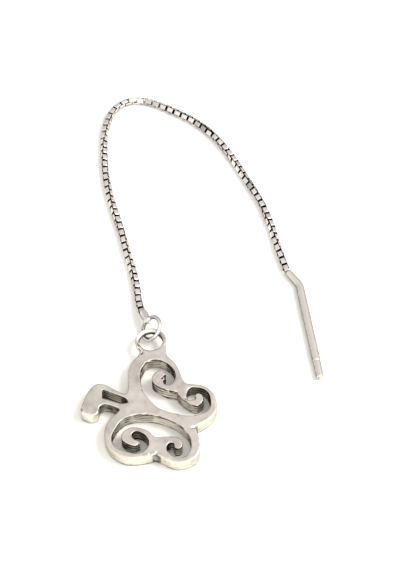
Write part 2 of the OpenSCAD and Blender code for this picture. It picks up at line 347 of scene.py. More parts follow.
@dataclass
class NodeGroups:
    """The shader node groups that several finishes share, each built once.

    A texture's bumps are given as their number in a millimetre and their octaves, and a gain as a factor
    and what is added to it.
    """

    patch_bumps: Pair = (1.6, 5)
    patch_gain: Pair = (1.5, -0.1)
    cloud_bumps: Pair = (0.55, 5)
    cloud_gain: Pair = (2.6, -1.0)
    wave_bumps: Pair = (1.3, 2)
    fine_bumps: Pair = (9.0, 4)
    line_bumps: Pair = (14.0, 5)
    smear_bumps: Pair = (2.4, 4)
    wear_polish: float = -0.1

    def __post_init__(self) -> None:
        """Builds the groups."""
        self.tarnish, self.grain = self._tarnish(), self._grain()
        self.hairlines, self.gloss = self._hairlines(), self._gloss()

    @staticmethod
    def _group(name: str, inputs: dict[str, object], outputs: dict[str, str]) -> tuple[
            bpy.types.NodeTree, bpy.types.bpy_prop_collection, bpy.types.Node]:
        """Empty group with named sockets.

        Args:
            name: Name of the group.
            inputs: Default value by name: a number, a colour, or None for a place.
            outputs: Kind of socket by name.

        Returns:
            The group, what it is given as sockets by name, and its output node.
        """
        tree = bpy.data.node_groups.new(name, "ShaderNodeTree")
        for label, default in inputs.items():
            kind = "Vector" if default is None else "Color" if isinstance(default, tuple) else "Float"
            socket = tree.interface.new_socket(label, in_out="INPUT", socket_type="NodeSocket" + kind)
            if default is not None:
                socket.default_value = default
        for label, kind in outputs.items():
            tree.interface.new_socket(label, in_out="OUTPUT", socket_type="NodeSocket" + kind)
        return tree, tree.nodes.new("NodeGroupInput").outputs, tree.nodes.new("NodeGroupOutput")

    @staticmethod
    def _noise(tree: bpy.types.NodeTree, place: bpy.types.NodeSocket, bumps: Pair) -> bpy.types.NodeSocket:
        """Noise texture in a tree.

        Args:
            tree: Tree that gets the node.
            place: Socket that gives the place.
            bumps: Bumps in a millimetre, and octaves.

        Returns:
            The texture's value.
        """
        node = tree.nodes.new("ShaderNodeTexNoise")
        feed(tree, node, {"Vector": place, "Scale": bumps[0], "Detail": bumps[1]})
        return node.outputs[0]

    @staticmethod
    def calc(tree: bpy.types.NodeTree, operation: str, *values: object,
             clamp: bool = False) -> bpy.types.NodeSocket:
        """Math node in a tree.

        Args:
            tree: Tree that gets the node.
            operation: Name of the operation.
            values: Sockets or numbers, in the order of the node's inputs.
            clamp: Whether the result is kept between 0 and 1.

        Returns:
            The node's result.
        """
        node = tree.nodes.new("ShaderNodeMath")
        node.operation = operation
        node.use_clamp = clamp
        feed(tree, node, dict(enumerate(values)))
        return node.outputs[0]

    def _tarnish(self) -> bpy.types.NodeTree:
        """Dark sulphide in the recesses, thinner in places, stains and painted shade, and a cloudy tone on
        the rest.

        Returns:
            The group.
        """
        tree, given, result = self._group(
            "tarnish",
            {"Place": None, "Clean": (0.8, 0.8, 0.8, 1), "Dark": (0.05, 0.04, 0.03, 1), "Recess": 0.0,
             "Stain and shade": 0.0, "Wear": 0.0, "Amount": 1.0, "Clouds": 0.1},
            {"Color": "Color", "Cover": "Float"})
        patches = self._noise(tree, given["Place"], self.patch_bumps)
        thin = self.calc(tree, "MULTIPLY_ADD", patches, *self.patch_gain, clamp=True)
        cover = self.calc(tree, "MULTIPLY", given["Recess"], thin)
        cover = self.calc(tree, "MULTIPLY", cover, given["Amount"])
        cover = self.calc(tree, "SUBTRACT", cover, given["Wear"], clamp=True)
        cover = self.calc(tree, "ADD", cover, given["Stain and shade"], clamp=True)
        clouds = self._noise(tree, given["Place"], self.cloud_bumps)
        cloudy = self.calc(tree, "MULTIPLY_ADD", clouds, *self.cloud_gain, clamp=True)
        cloudy = self.calc(tree, "MULTIPLY", cloudy, given["Clouds"])
        both = self.calc(tree, "ADD", cover, cloudy, clamp=True)
        mix = tree.nodes.new("ShaderNodeMix")
        mix.data_type = "RGBA"
        feed(tree, mix, {"Factor": both, "A": given["Clean"], "B": given["Dark"]})
        feed(tree, result, {"Color": mix.outputs["Result"], "Cover": both})
        return tree

    def _grain(self) -> bpy.types.NodeTree:
        """Unevenness of cast or handled metal: soft waves with finer grain on them.

        Returns:
            The group.
        """
        tree, given, result = self._group(
            "metal_grain", {"Place": None, "Waves": 0.004, "Grain": 0.0015}, {"Height": "Float"})
        waves = self._noise(tree, given["Place"], self.wave_bumps)
        fine = self._noise(tree, given["Place"], self.fine_bumps)
        rough = self.calc(tree, "MULTIPLY", waves, given["Waves"])
        small = self.calc(tree, "MULTIPLY", fine, given["Grain"])
        feed(tree, result, {"Height": self.calc(tree, "ADD", rough, small)})
        return tree

    def _hairlines(self) -> bpy.types.NodeTree:
        """Fine scratches that run along the x axis of the place that it is given.

        Returns:
            The group.
        """
        tree, given, result = self._group(
            "hairlines", {"Place": None, "Stretch": 0.08, "Depth": 0.001}, {"Height": "Float"})
        split, join = tree.nodes.new("ShaderNodeSeparateXYZ"), tree.nodes.new("ShaderNodeCombineXYZ")
        feed(tree, split, {0: given["Place"]})
        along = self.calc(tree, "MULTIPLY", split.outputs["X"], given["Stretch"])
        feed(tree, join, {"X": along, "Y": split.outputs["Y"], "Z": split.outputs["Z"]})
        lines = self._noise(tree, join.outputs[0], self.line_bumps)
        feed(tree, result, {"Height": self.calc(tree, "MULTIPLY", lines, given["Depth"])})
        return tree

    def _gloss(self) -> bpy.types.NodeTree:
        """Roughness that is higher under tarnish, lower on worn edges and a little uneven elsewhere.

        Returns:
            The group.
        """
        tree, given, result = self._group(
            "gloss",
            {"Place": None, "Clean": 0.3, "Tarnished": 0.6, "Cover": 0.0, "Wear": 0.0, "Spread": 0.08},
            {"Roughness": "Float"})
        smears = self._noise(tree, given["Place"], self.smear_bumps)
        centred = self.calc(tree, "SUBTRACT", smears, 0.5)
        base = self.calc(tree, "MULTIPLY_ADD", centred, given["Spread"], given["Clean"])
        step = self.calc(tree, "SUBTRACT", given["Tarnished"], given["Clean"])
        rough = self.calc(tree, "MULTIPLY_ADD", given["Cover"], step, base)
        rough = self.calc(tree, "MULTIPLY_ADD", given["Wear"], self.wear_polish, rough, clamp=True)
        feed(tree, result, {"Roughness": rough})
        return tree


@dataclass(frozen=True)
class SilverFinish:
    """Finish of one kind of silver: its tone, its tarnish, whose dark colour also paints shade, and how its
    surface was left.

    waves, fine and line_depth are heights in millimetres, and line_turn is the hairlines' run in degrees.
    """

    name: str
    grain: Grain
    tone: Triple
    grazing: Triple = (0.25, 0.23, 0.2)
    tarnish: Triple = (0.07, 0.06, 0.045)
    tarnish_amount: float = 1.0
    clouds: float = 0.08
    roughness: float = 0.34
    tarnished_roughness: float = 0.55
    roughness_spread: float = 0.1
    waves: float = 0.006
    fine: float = 0.002
    line_depth: float = 0.0012
    line_turn: float = 0.0
    wear: float = 0.5

    def material(self, groups: NodeGroups) -> bpy.types.Material:
        """Material with a metallic shader whose colour, roughness and normal come from the groups.

        Args:
            groups: The shared node groups.

        Returns:
            The material.
        """
        material = bpy.data.materials.new(self.name)
        material.use_nodes = True
        tree = material.node_tree
        place = self._place(tree)
        recess, wear, shade = (self._mask(tree, mask) for mask in (Mask.RECESS, Mask.WEAR, Mask.STAIN_AND_SHADE))
        worn = groups.calc(tree, "MULTIPLY", wear, self.wear)
        colour = self._use(tree, groups.tarnish, {
            "Place": place, "Clean": (*self.tone, 1), "Dark": (*self.tarnish, 1), "Recess": recess,
            "Stain and shade": shade, "Wear": worn, "Amount": self.tarnish_amount, "Clouds": self.clouds})
        gloss = self._use(tree, groups.gloss, {
            "Place": place, "Clean": self.roughness, "Tarnished": self.tarnished_roughness,
            "Cover": colour["Cover"], "Wear": worn, "Spread": self.roughness_spread})
        grain = self._use(tree, groups.grain, {"Place": place, "Waves": self.waves, "Grain": self.fine})
        height = grain["Height"]
        if self.grain in HAIRLINE_STRETCH:
            lines = self._use(tree, groups.hairlines, {
                "Place": self._along(tree, place), "Stretch": HAIRLINE_STRETCH[self.grain],
                "Depth": self.line_depth})
            height = groups.calc(tree, "ADD", height, lines["Height"])
        bump = tree.nodes.new("ShaderNodeBump")
        feed(tree, bump, {"Strength": 1.0, "Distance": MILLIMETRE, "Height": height})
        feed(tree, tree.nodes["Principled BSDF"], {
            "Metallic": 1.0, "Specular Tint": (*self.grazing, 1), "Base Color": colour["Color"],
            "Roughness": gloss["Roughness"], "Normal": bump.outputs["Normal"]})
        return material

    @staticmethod
    def _place(tree: bpy.types.NodeTree) -> bpy.types.NodeSocket:
        """Place on the piece in millimetres.

        Args:
            tree: The material's tree.

        Returns:
            The place.
        """
        scaled = tree.nodes.new("ShaderNodeVectorMath")
        scaled.operation = "SCALE"
        given = tree.nodes.new("ShaderNodeTexCoord")
        feed(tree, scaled, {0: given.outputs["Object"], "Scale": 1 / MILLIMETRE})
        return scaled.outputs[0]

    def _along(self, tree: bpy.types.NodeTree, place: bpy.types.NodeSocket) -> bpy.types.NodeSocket:
        """The same place, turned so that its x axis runs along the hairlines.

        Args:
            tree: The material's tree.
            place: The place.

        Returns:
            The turned place.
        """
        turn = tree.nodes.new("ShaderNodeVectorRotate")
        turn.rotation_type = "Z_AXIS"
        feed(tree, turn, {"Angle": -math.radians(self.line_turn), "Vector": place})
        return turn.outputs[0]

    @staticmethod
    def _mask(tree: bpy.types.NodeTree, mask: Mask) -> bpy.types.NodeSocket:
        """Value of a mask at each point.

        Args:
            tree: The material's tree.
            mask: The mask.

        Returns:
            Its value.
        """
        node = tree.nodes.new("ShaderNodeAttribute")
        node.attribute_name = mask.value
        return node.outputs["Fac"]

    @staticmethod
    def _use(tree: bpy.types.NodeTree, group: bpy.types.NodeTree,
             values: dict[str, object]) -> bpy.types.bpy_prop_collection:
        """Places a group in a material.

        Args:
            tree: The material's tree.
            group: The group.
            values: Sockets or numbers by the name of the group's input.

        Returns:
            The group's results by name.
        """
        node = tree.nodes.new("ShaderNodeGroup")
        node.node_tree = group
        feed(tree, node, values)
        return node.outputs


@dataclass
class Piece:
    """A finer piece that stands for one solid of the frame, given as the solid's node and its look's slot."""

    node: str
    slot: str
    finish: SilverFinish

    def show(self, shape: Shape, name: str, groups: NodeGroups) -> None:
        """Puts a shape in the scene, in place of its solid, with nothing of it below the table.

        Args:
            shape: The piece's shape.
            name: Its name.
            groups: The shared node groups, for its finish.
        """
        shape.points[:, 2] = np.maximum(shape.points[:, 2], 0.0)
        piece = add_object(name, shape.mesh(name))
        piece.data.materials.append(self.finish.material(groups))
        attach(piece, BODY)
        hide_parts(self.node)
        log.info("%s: %d points, %d faces", name, len(shape.points), len(piece.data.polygons))


def solid_points(source: bpy.types.Object) -> tuple[Array, Array]:
    """Points and triangles of a frame solid, in millimetres, with the points that coincide made one.

    Args:
        source: The solid's object.

    Returns:
        The points, and the triangles as rows of point numbers.
    """
    mesh = bmesh.new()
    mesh.from_mesh(source.data)
    bmesh.ops.remove_doubles(mesh, verts=mesh.verts, dist=SAME_PLACE)
    bmesh.ops.triangulate(mesh, faces=mesh.faces)
    mesh.verts.index_update()
    points = np.array([vertex.co for vertex in mesh.verts], float) / MILLIMETRE
    triangles = np.array([[vertex.index for vertex in face.verts] for face in mesh.faces])
    mesh.free()
    return points, triangles


def islands(count: int, groups: Array) -> Array:
    """Number of the connected stretch that each point belongs to.

    Args:
        count: Number of points.
        groups: Rows of point numbers that belong together.

    Returns:
        One label for each point.
    """
    label = np.arange(count)
    while True:
        lowest = label[groups].min(1)
        changed = label.copy()
        for column in groups.T:
            np.minimum.at(changed, column, lowest)
        changed = changed[changed]
        if (changed == label).all():
            return label
        label = changed


@dataclass(frozen=True)
class Mark:
    """A nick in the drop's top: its place in the drop's plan, its half sizes, its turn and its depth."""

    x: float
    y: float
    length: float
    width: float
    turn: float
    depth: float

    def falloff(self, offsets: Array, plan_turn: float) -> Array:
        """Share of the nick's depth at each offset from its middle, in a plan turned by plan_turn."""
        along, across = turned(plan_turn + self.turn)[:2], turned(plan_turn + self.turn + 90)[:2]
        return np.exp(-(offsets @ along / self.length) ** 2 - (offsets @ across / self.width) ** 2)


@dataclass
class Surface:
    """The drop's skin as its stains see it, with one value or row for each of its points.

    opening is 1 where the nearest wall is an opening's. from_eyelet is the offset from the eyelet's middle on
    the table, and near_eyelet fades from 1 at the eyelet to 0 away from it.
    """

    points: Array
    normals: Array
    opening: Array
    near_eyelet: Array
    from_eyelet: Array

    @property
    def rise(self) -> Array:
        """Upward part of the direction at each point."""
        return self.normals[:, 2]


@dataclass
class Drop(Piece):
    """The cast butterfly: its skin, the walls of its openings, and the marks of filing and casting.

    A pair named rise, facing, heights or depths says where a soft step starts and ends: by the upward part
    of the direction, by the cosine of the angle to a side, over the table, or under the top.
    """

    # The skin, and how often its edges are softened
    voxel: float = 0.057
    thickness: float = 1.52
    rounding_passes: int = 1
    eyelet_passes: int = 5
    edge_passes: int = 7
    edge_depths: Pair = (0.4, 0.2)
    # Where the drop's plan lies on the table
    plan_origin: Pair = (-4.58, -18.50)
    plan_turn: float = -21.0
    plan_scale: float = 1.015
    # The eyelet, with the bevel that the ring wore in it and the painted shade on its far inner wall
    eyelet: Pair = (-5.45, -10.56)
    eyelet_hole: float = 1.22
    eyelet_reach: float = 2.1
    eyelet_fade: float = 0.4
    bevel_width: float = 0.38
    bevel_depth: float = 0.22
    bevel_turn: float = 135.0
    bevel_facing: Pair = (0.2, 0.6)
    bevel_depths: Pair = (0.4, 0.1)
    bevel_fade: float = 0.2
    eyelet_wall: float = 0.14
    eyelet_far: Pair = (-0.5, 0.1)
    eyelet_heights: Pair = (0.7, 0.95)
    eyelet_rise: Pair = (0.45, 0.8)
    eyelet_tone: Noise = Noise(0.5, 13, 1, 0.85, 0.3)
    # Waves and ripples of the faces, and ledges on the walls of the openings
    top_rise: Pair = (0.5, 0.95)
    wall_rise: Pair = (0.2, 0.6)
    waves: Noise = Noise(1.9, 3, 1, 0, 0.02)
    wave_height: float = 0.02
    ripples: Noise = Noise(0.5, 4, 1, 0, 0.007)
    filing: Noise = Noise(0.35, 7, 0.15, 0, 0.007)
    ledge_height: float = 0.05
    ledge_spacing: float = 0.42
    ledge_sway: Noise = Noise(1.6, 5, 0, 0, 0.7)
    ledge_depth: Noise = Noise(0.6, 6, 0.6, 0.65, 0.6)
    # Tarnish on the walls of the openings
    steep_rise: Pair = (0.25, 0.7)
    wall_tarnish: float = 0.26
    wall_wiped: float = 0.22
    wall_soot: float = 0.55
    line_tarnish: float = 1.05
    line_wiped: float = 0.5
    line_depths: Pair = (0.3, 0.75)
    # Painted shade: dark line on the rounding of the top edges
    outline_shade: float = 0.85
    outline_rise: Pair = (0.1, 0.3)
    outline_facing: Pair = (0.45, 0.78)
    outline_tone: Noise = Noise(1.1, 12, 0, 0.85, 0.4)
    # Painted shadow in a line under the openings' top edges, and painted shade on their rims that face right
    edge_shade: float = 0.9
    edge_rise: Pair = (0.6, 0.9)
    edge_under: Noise = Noise(0.6, 9, 0, 0.11, -0.05)
    edge_width: Noise = Noise(0.8, 19, 0, 0.13, 0.05)
    edge_breaks: Noise = Noise(0.7, 10, 0)
    edge_gaps: Pair = (-0.5, 0.0)
    rim_shade: float = 0.55
    rim_facing: Pair = (0.12, 0.3)
    rim_rise: Pair = (0.3, 0.6)
    # Film on the flat top
    film_shade: float = 0.235
    film_rise: Pair = (0.8, 0.95)
    film_clouds: Noise = Noise(1.3, 15, 0, 1, 0.4)
    film_spots: Noise = Noise(0.42, 16, 0, 0, 0.35)
    dull_shade: float = 0.05
    # Painted contact shadow along the foot, and scratches and dark places of the outside edge
    foot_shade: float = 0.85
    foot_heights: Pair = (0.06, 0.22)
    foot_tone: Noise = Noise(0.8, 14, 0, 0.8, 0.5)
    scuff_shade: float = 0.3
    scuffs: Noise = Noise(0.55, 17, 5)
    fine_scuffs: Noise = Noise(0.24, 18, 4, 0, 0.6)
    scuff_depths: Pair = (0.25, 0.8)
    dark_tone: Noise = Noise(0.25, 8, 1, 0.62, 0.4)
    # Casting pits as x, y and width, painted fully dark as oxide and painted shade in the holes, and nicks
    pits: Spots = ((-0.66, 3.45, 0.24), (-0.80, 3.13, 0.18), (-0.45, 2.90, 0.30))
    pit_core: float = 0.5
    pit_blur: float = 0.07
    dent_shade: float = 0.7
    dent_depths: Pair = (0.45, 0.9)
    mark_depths: Pair = (0.5, 0.1)
    marks: tuple[Mark, ...] = (
        Mark(-0.60, -1.45, 0.30, 0.08, 15, 0.16), Mark(-0.15, -1.34, 0.14, 0.07, 60, 0.14),
        Mark(0.55, 1.98, 0.28, 0.07, -5, 0.18), Mark(1.05, 2.06, 0.16, 0.08, 40, 0.16),
        Mark(-0.25, 2.02, 0.12, 0.06, 30, 0.14), Mark(1.42, 1.86, 0.10, 0.07, -50, 0.16),
        Mark(-3.12, 3.45, 0.07, 0.26, 0, 0.16), Mark(-2.98, 4.30, 0.16, 0.07, 50, 0.14),
        Mark(-2.60, 4.78, 0.22, 0.06, 32, 0.16), Mark(-1.70, 5.06, 0.30, 0.05, -4, 0.15),
        Mark(3.10, 2.18, 0.08, 0.22, 20, 0.16), Mark(2.30, 1.70, 0.20, 0.06, -30, 0.12),
        Mark(1.95, -5.30, 0.12, 0.20, 0, 0.16), Mark(2.45, -5.46, 0.24, 0.08, -10, 0.14),
        Mark(1.40, -5.62, 0.14, 0.06, -38, 0.12), Mark(-3.90, 5.30, 0.08, 0.24, 10, 0.14),
        Mark(-4.34, 5.68, 0.34, 0.07, -29, 0.20), Mark(-4.62, 6.10, 0.22, 0.06, -60, 0.16),
        Mark(4.38, -1.05, 0.28, 0.10, 30, 0.18), Mark(-0.05, -4.75, 0.07, 0.20, 10, 0.14),
        Mark(-6.90, -3.20, 0.12, 0.30, 0, 0.10), Mark(-1.70, -1.94, 0.16, 0.06, 25, 0.14),
        Mark(0.62, -1.20, 0.22, 0.06, 0, 0.14), Mark(-2.10, 1.10, 0.18, 0.06, -38, 0.12))
    # Places in the plan that are cleaner or darker than the rest
    dull_tops: Spots = ((-6.2, -1.6, 2.2), (2.2, -4.4, 1.6), (-3.4, 4.2, 1.0))
    wiped_walls: Spots = (
        (-0.60, -1.40, 1.8), (1.80, -1.20, 1.9), (3.40, -1.70, 1.2), (-2.60, 4.60, 1.0), (-0.10, 1.60, 0.6),
        (-4.45, -0.45, 0.9))
    sooty_walls: Spots = (
        (2.60, 3.30, 0.9), (3.60, 3.35, 1.0), (4.40, 2.80, 0.9), (4.85, 1.90, 0.7), (0.35, 3.40, 0.7),
        (-3.10, -0.25, 0.9), (-5.65, -0.20, 0.6), (-0.70, -3.50, 1.1), (2.40, -3.40, 0.8),
        (-1.10, -4.75, 1.0), (3.00, -3.80, 0.7), (-1.30, 2.45, 0.7), (-0.45, 4.85, 0.8))
    dark_walls: Spots = (
        (-5.10, -1.80, 0.8), (-4.20, -1.75, 0.95), (-3.40, -1.75, 0.45), (2.05, -5.40, 0.55),
        (-1.75, 6.75, 0.35), (4.40, -1.00, 0.3))

    def build(self, source: bpy.types.Object, groups: NodeGroups) -> None:
        """Makes the drop.

        Args:
            source: The solid in the frame.
            groups: The shared node groups.
        """
        points, triangles = solid_points(source)
        skin = Shape(points, triangles).remeshed(self.voxel)
        opening = self._in_opening(points, triangles, skin)
        away = np.linalg.norm(skin.points[:, :2] - self.eyelet, axis=1)
        near_eyelet = fade(self.eyelet_reach - self.eyelet_fade, self.eyelet_reach, away)
        skin.points = skin.relaxed(skin.points, self.rounding_passes)
        skin.points = skin.relaxed(skin.points, self.eyelet_passes, near_eyelet)
        outside_rim = (1 - opening) * self._near_top(skin.points, self.edge_depths)
        skin.points = skin.relaxed(skin.points, self.edge_passes, outside_rim)
        ledges, dents = self._shape_surface(skin, opening)
        skin.points[:, 2] -= self._eyelet_bevel(skin.points)

        face = Surface(skin.points, skin.normals(), opening, near_eyelet, skin.points[:, :2] - self.eyelet)
        steep = fade(*self.steep_rise, np.abs(face.rise))
        walls, outside = opening * steep * (1 - near_eyelet), (1 - opening) * steep
        pits = self._near(self.pits, face.points, self.pit_core, 0.0, self.pit_blur)
        # Real stains, and painted shade: in the pits, along the foot, in the outlines, under the openings'
        # edges, on the right-facing rims and on the eyelet's far wall
        stains = [
            pits, self.dent_shade * dents, self._foot_shadow(face), self._outline(face), self._film(face),
            self._under_edge(face), self._rims(face), self._eyelet_far_shade(face), outside * self._scuffs(face),
            outside * self._near(self.dark_walls, face.points) * self.dark_tone.at(face.points)]
        skin.masks = {
            Mask.RECESS: walls * self._wall_tarnish(face, ledges),
            Mask.WEAR: skin.worn() * (1 - pits) * (1 - dents),
            Mask.STAIN_AND_SHADE: np.clip(np.max(stains, axis=0), 0, 1)}
        self.show(skin, "butterfly_drop", groups)

    def _wall_tarnish(self, face: Surface, ledges: Array) -> Array:
        """Tarnish on the walls of the openings, deepest between their ledges.

        Args:
            face: The skin.
            ledges: Depth of the lines between the ledges at each point.

        Returns:
            Amount of tarnish at each point.
        """
        soot, wiped = self._near(self.sooty_walls, face.points), self._near(self.wiped_walls, face.points)
        even = self.wall_tarnish - self.wall_wiped * wiped + self.wall_soot * soot
        return even + (self.line_tarnish - self.line_wiped * wiped) * smoothstep(*self.line_depths, ledges)

    def _outline(self, face: Surface) -> Array:
        """Painted shade: thin grey line on the rounding of the top edges, where they face away from the
        unshaded side.
        """
        line = smoothstep(*self.outline_rise, face.rise) * facing_away_shade(face.normals, *self.outline_facing)
        return line * self.outline_shade * self.outline_tone.at(face.points)

    def _film(self, face: Surface) -> Array:
        """Thin uneven tarnish on the flat top, thicker in a few places.

        Args:
            face: The skin.

        Returns:
            Strength of the tarnish at each point.
        """
        film = self.film_shade * (self.film_clouds.at(face.points) + self.film_spots.at(face.points))
        dull = self.dull_shade * self._near(self.dull_tops, face.points)
        return (film + dull) * smoothstep(*self.film_rise, face.rise)

    def _scuffs(self, face: Surface) -> Array:
        """Faint dark scratches that run round the outside edge."""
        fine = self.scuffs.at(face.points) + self.fine_scuffs.at(face.points)
        return self.scuff_shade * smoothstep(*self.scuff_depths, fine)

    def _foot_shadow(self, face: Surface) -> Array:
        """Painted contact shadow: dark line along the foot of the walls."""
        return fade(*self.foot_heights, face.points[:, 2]) * self.foot_shade * self.foot_tone.at(face.points)

    def _rims(self, face: Surface) -> Array:
        """Painted shade on the rims of the openings that face right, which dims their highlight from the key
        light.
        """
        facing = smoothstep(*self.rim_facing, face.normals[:, 0]) * smoothstep(*self.rim_rise, face.rise)
        return face.opening * self.rim_shade * facing

    def _under_edge(self, face: Surface) -> Array:
        """Painted shadow: broken dark line just under the top edge of the openings.

        Args:
            face: The skin.

        Returns:
            Strength of the line at each point.
        """
        line = self.thickness - self.edge_under.at(face.points)
        band = np.exp(-((face.points[:, 2] - line) / self.edge_width.at(face.points)) ** 2)
        broken = smoothstep(*self.edge_gaps, self.edge_breaks.at(face.points))
        side = face.opening * (1 - face.near_eyelet) * fade(*self.edge_rise, face.rise)
        return self.edge_shade * side * band * broken

    def _eyelet_far_shade(self, face: Surface) -> Array:
        """Painted shade on the far inner wall of the eyelet.

        Args:
            face: The skin.

        Returns:
            Strength of the painted shade at each point.
        """
        reach = np.linalg.norm(face.from_eyelet, axis=1)
        inner = fade(self.eyelet_hole, self.eyelet_hole + self.eyelet_wall, reach)
        far = smoothstep(*self.eyelet_far, face.from_eyelet[:, 1])
        high = smoothstep(*self.eyelet_heights, face.points[:, 2])
        return inner * far * high * fade(*self.eyelet_rise, face.rise) * self.eyelet_tone.at(face.points)

    def _eyelet_bevel(self, points: Array) -> Array:
        """Lowering of the inner edge of the eyelet's rim by the bevel that the ring wore there.

        Args:
            points: Points in the frame.

        Returns:
            How far each point is lowered.
        """
        offsets = points[:, :2] - self.eyelet
        reach = np.linalg.norm(offsets, axis=1)
        across = 1 - np.clip((reach - self.eyelet_hole) / self.bevel_width, 0, 1)
        facing = offsets @ turned(self.bevel_turn)[:2] / np.maximum(reach, TINY)
        near = fade(self.eyelet_reach - self.bevel_fade, self.eyelet_reach, reach)
        top = self._near_top(points, self.bevel_depths)
        return self.bevel_depth * across * smoothstep(*self.bevel_facing, facing) * top * near

    def _near_top(self, points: Array, depths: Pair) -> Array:
        """Soft step between two depths under the top, from 0 at the lower to 1 at the upper."""
        return smoothstep(self.thickness - depths[0], self.thickness - depths[1], points[:, 2])

    def _near(self, places: Spots, points: Array, core: float = 0.6, soft: float = 0.4,
              blur: float = 0.0) -> Array:
        """1 near places of the drop's plan and 0 away from them.

        Args:
            places: Rows of x, y and reach.
            points: Points in the frame.
            core: Share of the reach that is fully 1.
            soft: Share of the reach over which it falls to 0.
            blur: Further distance over which it falls.

        Returns:
            One value for each point.
        """
        total = np.zeros(len(points))
        for x, y, reach in places:
            away = np.linalg.norm(points[:, :2] - self._on_table(x, y), axis=1)
            total = np.maximum(total, fade(core * reach, (core + soft) * reach + blur, away))
        return total

    def _on_table(self, x: float, y: float) -> Array:
        """Place on the table of a point of the drop's plan."""
        ahead, left = turned(self.plan_turn)[:2], turned(self.plan_turn + 90)[:2]
        return np.array(self.plan_origin) + self.plan_scale * (x * ahead + y * left)

    @staticmethod
    def _in_opening(points: Array, triangles: Array, skin: Shape) -> Array:
        """Whether the wall nearest to each point of the skin belongs to an opening.

        Args:
            points: Points of the frame's solid.
            triangles: Its triangles.
            skin: The finer skin.

        Returns:
            1 in an opening and 0 on the outside edge, for each point of the skin.
        """
        corners = points[triangles]
        flat = unit(np.cross(corners[:, 1] - corners[:, 0], corners[:, 2] - corners[:, 0]))
        walls = triangles[np.abs(flat[:, 2]) < UPRIGHT]
        label = islands(len(points), walls)[walls[:, 0]]
        middle = points[walls].mean(1)
        reach = {name: np.ptp(points[walls[label == name]][..., 0]) for name in np.unique(label)}
        outside = max(reach, key=reach.get)
        tree = KDTree(len(walls))
        for index, place in enumerate(middle):
            tree.insert((place[0], place[1], 0.0), index)
        tree.balance()
        nearest = np.array([tree.find((x, y, 0.0))[1] for x, y, _ in skin.points])
        return (label[nearest] != outside).astype(float)

    def _shape_surface(self, skin: Shape, opening: Array) -> tuple[Array, Array]:
        """Gives the faces soft waves of casting and filing, the openings ledges, and the top its nicks.

        Args:
            skin: The skin, which is changed.
            opening: 1 at points of the openings' walls.

        Returns:
            Depth of the lines between the ledges at each point, from -1 to 1, and depth of the nicks, to 1.
        """
        normals = skin.normals()
        top, wall = smoothstep(*self.top_rise, normals[:, 2]), fade(*self.wall_rise, np.abs(normals[:, 2]))
        waves = self.waves.at(skin.points) + self.ripples.at(skin.points)
        level = skin.points[:, 2] / self.ledge_spacing + self.ledge_sway.at(skin.points)
        ledges = np.cos(TAU * level) * self.ledge_depth.at(skin.points)
        walls = np.where(opening > 0.5, ledges * self.ledge_height, self.filing.at(skin.points))
        skin.points = skin.points + normals * (top * (waves - self.wave_height) - wall * walls)[:, None]
        near_top = self._near_top(skin.points, self.mark_depths)
        dents = np.zeros(len(skin.points))
        for mark in self.marks:
            offsets = skin.points[:, :2] - self._on_table(mark.x, mark.y)
            dent = mark.falloff(offsets, self.plan_turn) * near_top
            skin.points[:, 2] -= mark.depth * dent
            dents = np.maximum(dents, dent)
        skin.points[:, 2] = np.minimum(skin.points[:, 2], self.thickness)
        return ledges, smoothstep(*self.dent_depths, dents)


@dataclass
class Link:
    """One link of the box chain, bent from flat strip into a box with rounded corners."""

    length: float = 0.84
    width: float = 0.76
    strip: float = 0.48
    wall: float = 0.11
    corner: float = 0.14
    crown: float = 0.012
    crown_steps: int = 5
    bevel: float = 0.032
    bevel_cut: float = 0.3
    inner_cut: float = 0.5
    corner_steps: int = 5
    tarnish_and_shade_span: Pair = (0.31, 0.35)

    def shape(self) -> Shape:
        """The link round its own middle, with x along the chain, y along its width and z across the strip.

        Returns:
            The link, with its tarnish and painted shade on the inside and at the ends.
        """
        path, outward = self._path()
        section = self._section()
        rings = path[:, None, :] + outward[:, None, :] * section[None, :, 1:] + UP * section[None, :, :1]
        link = swept(rings, closed=True)
        inside = (section[:, 1] < 0).astype(float)
        ends = smoothstep(*self.tarnish_and_shade_span, np.abs(path[:, 0]))
        link.masks[Mask.RECESS] = np.maximum(inside[None, :], ends[:, None]).ravel()
        return link

    def _path(self) -> tuple[Array, Array]:
        """Way of the strip round the link.

        Returns:
            The middle of the strip's thickness, and the outward direction at each place on it.
        """
        radius = self.corner - self.wall / 2
        half = np.array([self.length, self.width]) / 2 - self.corner
        places, outward = [], []
        for quarter, step in itertools.product(range(4), range(self.corner_steps)):
            sign = np.array([1 if quarter in (0, 3) else -1, 1 if quarter < 2 else -1])
            angle = TAU / 4 * (quarter + step / (self.corner_steps - 1))
            away = np.array([math.cos(angle), math.sin(angle)])
            places.append([*(sign * half + radius * away), 0.0])
            outward.append([*away, 0.0])
        return np.array(places), np.array(outward)

    def _section(self) -> Array:
        """Section of the strip.

        Returns:
            Rows of place across it and height from the middle of its thickness.
        """
        half, top, bevel = self.strip / 2, self.wall / 2, self.bevel
        flat, cut, inner_cut = half - bevel, bevel * self.bevel_cut, bevel * self.inner_cut
        crown = [[x, top - self.crown * (x / flat) ** 2] for x in np.linspace(flat, -flat, self.crown_steps)]
        left = [[-half + cut, top - self.crown - cut], [-half, top - self.crown - bevel],
                [-half, -top + inner_cut], [-half + inner_cut, -top]]
        return np.array(crown + left + [[-x, height] for x, height in reversed(left)])


